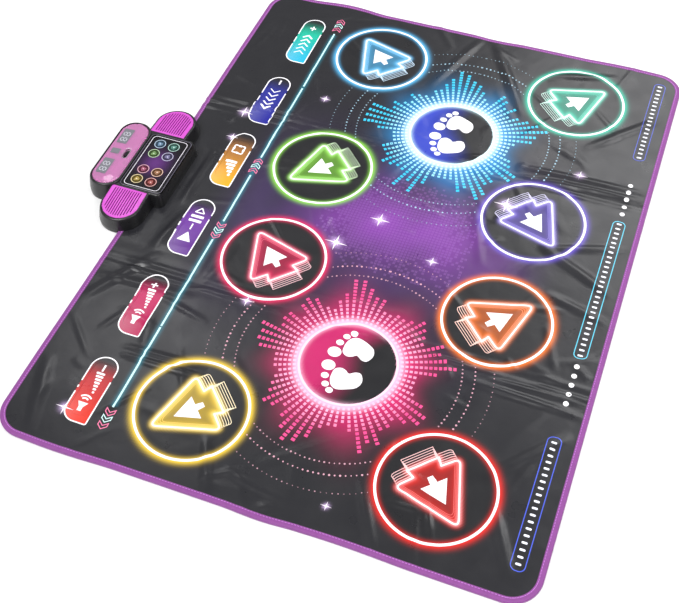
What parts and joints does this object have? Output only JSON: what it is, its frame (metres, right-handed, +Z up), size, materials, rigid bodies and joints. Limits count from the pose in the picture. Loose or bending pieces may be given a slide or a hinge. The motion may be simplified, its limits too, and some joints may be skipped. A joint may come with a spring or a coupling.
{
  "type": "dance rhythm machine",
  "caption": "Electronic two-player dance mat with step pads, a row of control buttons and a control box with a display, speakers and indicator lamps on its rear edge.",
  "frame": {"origin": "middle of the mat's underside, on the floor", "axes": "+X to the players' right along the mat's long side, +Y from the players to the control box on the rear edge, +Z up from the floor"},
  "size_m": [1.2, 1.006, 0.0406],
  "materials": {
    "printed_vinyl": "satin printed vinyl, dark charcoal",
    "binding_tape": "woven purple binding tape",
    "nonslip_cloth": "non-woven cloth with fine rubber dots",
    "cushion_foam": "closed-cell foam sheet",
    "spacer_foam": "closed-cell foam sheet",
    "circuit_film": "polyester film with printed carbon and silver tracks",
    "black_abs": "satin moulded black plastic",
    "magenta_abs": "moulded magenta plastic",
    "pink_window": "glossy translucent pink plastic",
    "gloss_panel": "glossy black panel with printed lines",
    "display_module": "grey numeric display block",
    "indicator_led": "diffused lamp",
    "circuit_board": "solder-masked board",
    "speaker_cone": "paper cone in a black frame",
    "switch_knob": "moulded black plastic",
    "battery": "sleeved cell",
    "zinc_steel": "zinc-plated steel",
    "rubber_foot": "moulded rubber"
  },
  "bodies": {
    "control_box_and_centre_panel": {"nonslip_base_centre": "nonslip_cloth", "cushion_foam_centre": "cushion_foam", "lower_film_centre": "circuit_film", "spacer_foam_centre": "spacer_foam", "upper_film_centre": "circuit_film", "printed_sheet_centre": "printed_vinyl", "edge_binding_centre": "binding_tape", "top_housing": "black_abs", "bottom_housing": "black_abs", "clamp_plate": "zinc_steel", "clamp_screws": "zinc_steel", "housing_screws": "zinc_steel", "display_window": "pink_window", "display_modules": "display_module", "indicator_panel": "gloss_panel", "indicator_leds": "indicator_led", "main_board": "circuit_board", "board_screws": "zinc_steel", "flex_tail": "circuit_film", "speaker_grille_left": "magenta_abs", "speaker_grille_right": "magenta_abs", "speaker_left": "speaker_cone", "speaker_right": "speaker_cone", "switch_body": "zinc_steel", "batteries": "battery", "battery_contacts": "zinc_steel", "rubber_feet": "rubber_foot"},
    "left_wing": {"nonslip_base_left": "nonslip_cloth", "cushion_foam_left": "cushion_foam", "lower_film_left": "circuit_film", "spacer_foam_left": "spacer_foam", "upper_film_left": "circuit_film", "printed_sheet_left": "printed_vinyl", "edge_binding_left": "binding_tape"},
    "right_wing": {"nonslip_base_right": "nonslip_cloth", "cushion_foam_right": "cushion_foam", "lower_film_right": "circuit_film", "spacer_foam_right": "spacer_foam", "upper_film_right": "circuit_film", "printed_sheet_right": "printed_vinyl", "edge_binding_right": "binding_tape"},
    "p1_up_left_pad": {"p1_up_left_pad": "printed_vinyl"},
    "p1_up_right_pad": {"p1_up_right_pad": "printed_vinyl"},
    "p1_down_left_pad": {"p1_down_left_pad": "printed_vinyl"},
    "p1_down_right_pad": {"p1_down_right_pad": "printed_vinyl"},
    "p2_up_left_pad": {"p2_up_left_pad": "printed_vinyl"},
    "p2_up_right_pad": {"p2_up_right_pad": "printed_vinyl"},
    "p2_down_left_pad": {"p2_down_left_pad": "printed_vinyl"},
    "p2_down_right_pad": {"p2_down_right_pad": "printed_vinyl"},
    "volume_down_button": {"volume_down_button": "printed_vinyl"},
    "volume_up_button": {"volume_up_button": "printed_vinyl"},
    "start_pause_button": {"start_pause_button": "printed_vinyl"},
    "level_button": {"level_button": "printed_vinyl"},
    "speed_down_button": {"speed_down_button": "printed_vinyl"},
    "speed_up_button": {"speed_up_button": "printed_vinyl"},
    "power_switch": {"power_switch": "switch_knob"},
    "battery_door": {"battery_door": "black_abs"}
  },
  "joints": [
    {"name": "left_wing_fold", "type": "hinge", "parent": "control_box_and_centre_panel", "child": "left_wing", "pos_m": [-0.218, 0, 0.0067], "axis": [0, 1, 0], "range_deg": [0, 115]},
    {"name": "right_wing_fold", "type": "hinge", "parent": "control_box_and_centre_panel", "child": "right_wing", "pos_m": [0.218, 0, 0.0067], "axis": [0, -1, 0], "range_deg": [0, 115]},
    {"name": "p1_up_left_pad_press", "type": "slide", "parent": "left_wing", "child": "p1_up_left_pad", "axis": [0, 0, -1], "range_m": [0, 0.0015], "stiffness_N_per_m": 3000},
    {"name": "p1_up_right_pad_press", "type": "slide", "parent": "control_box_and_centre_panel", "child": "p1_up_right_pad", "axis": [0, 0, -1], "range_m": [0, 0.0015], "stiffness_N_per_m": 3000},
    {"name": "p1_down_left_pad_press", "type": "slide", "parent": "left_wing", "child": "p1_down_left_pad", "axis": [0, 0, -1], "range_m": [0, 0.0015], "stiffness_N_per_m": 3000},
    {"name": "p1_down_right_pad_press", "type": "slide", "parent": "control_box_and_centre_panel", "child": "p1_down_right_pad", "axis": [0, 0, -1], "range_m": [0, 0.0015], "stiffness_N_per_m": 3000},
    {"name": "p2_up_left_pad_press", "type": "slide", "parent": "control_box_and_centre_panel", "child": "p2_up_left_pad", "axis": [0, 0, -1], "range_m": [0, 0.0015], "stiffness_N_per_m": 3000},
    {"name": "p2_up_right_pad_press", "type": "slide", "parent": "right_wing", "child": "p2_up_right_pad", "axis": [0, 0, -1], "range_m": [0, 0.0015], "stiffness_N_per_m": 3000},
    {"name": "p2_down_left_pad_press", "type": "slide", "parent": "control_box_and_centre_panel", "child": "p2_down_left_pad", "axis": [0, 0, -1], "range_m": [0, 0.0015], "stiffness_N_per_m": 3000},
    {"name": "p2_down_right_pad_press", "type": "slide", "parent": "right_wing", "child": "p2_down_right_pad", "axis": [0, 0, -1], "range_m": [0, 0.0015], "stiffness_N_per_m": 3000},
    {"name": "volume_down_button_press", "type": "slide", "parent": "left_wing", "child": "volume_down_button", "axis": [0, 0, -1], "range_m": [0, 0.0015], "stiffness_N_per_m": 2500},
    {"name": "volume_up_button_press", "type": "slide", "parent": "left_wing", "child": "volume_up_button", "axis": [0, 0, -1], "range_m": [0, 0.0015], "stiffness_N_per_m": 2500},
    {"name": "start_pause_button_press", "type": "slide", "parent": "control_box_and_centre_panel", "child": "start_pause_button", "axis": [0, 0, -1], "range_m": [0, 0.0015], "stiffness_N_per_m": 2500},
    {"name": "level_button_press", "type": "slide", "parent": "control_box_and_centre_panel", "child": "level_button", "axis": [0, 0, -1], "range_m": [0, 0.0015], "stiffness_N_per_m": 2500},
    {"name": "speed_down_button_press", "type": "slide", "parent": "right_wing", "child": "speed_down_button", "axis": [0, 0, -1], "range_m": [0, 0.0015], "stiffness_N_per_m": 2500},
    {"name": "speed_up_button_press", "type": "slide", "parent": "right_wing", "child": "speed_up_button", "axis": [0, 0, -1], "range_m": [0, 0.0015], "stiffness_N_per_m": 2500},
    {"name": "power_switch_slide", "type": "slide", "parent": "control_box_and_centre_panel", "child": "power_switch", "axis": [1, 0, 0], "range_m": [-0.004, 0.004]},
    {"name": "battery_door_slide", "type": "slide", "parent": "control_box_and_centre_panel", "child": "battery_door", "axis": [0, 1, 0], "range_m": [0, 0.06]}
  ]
}
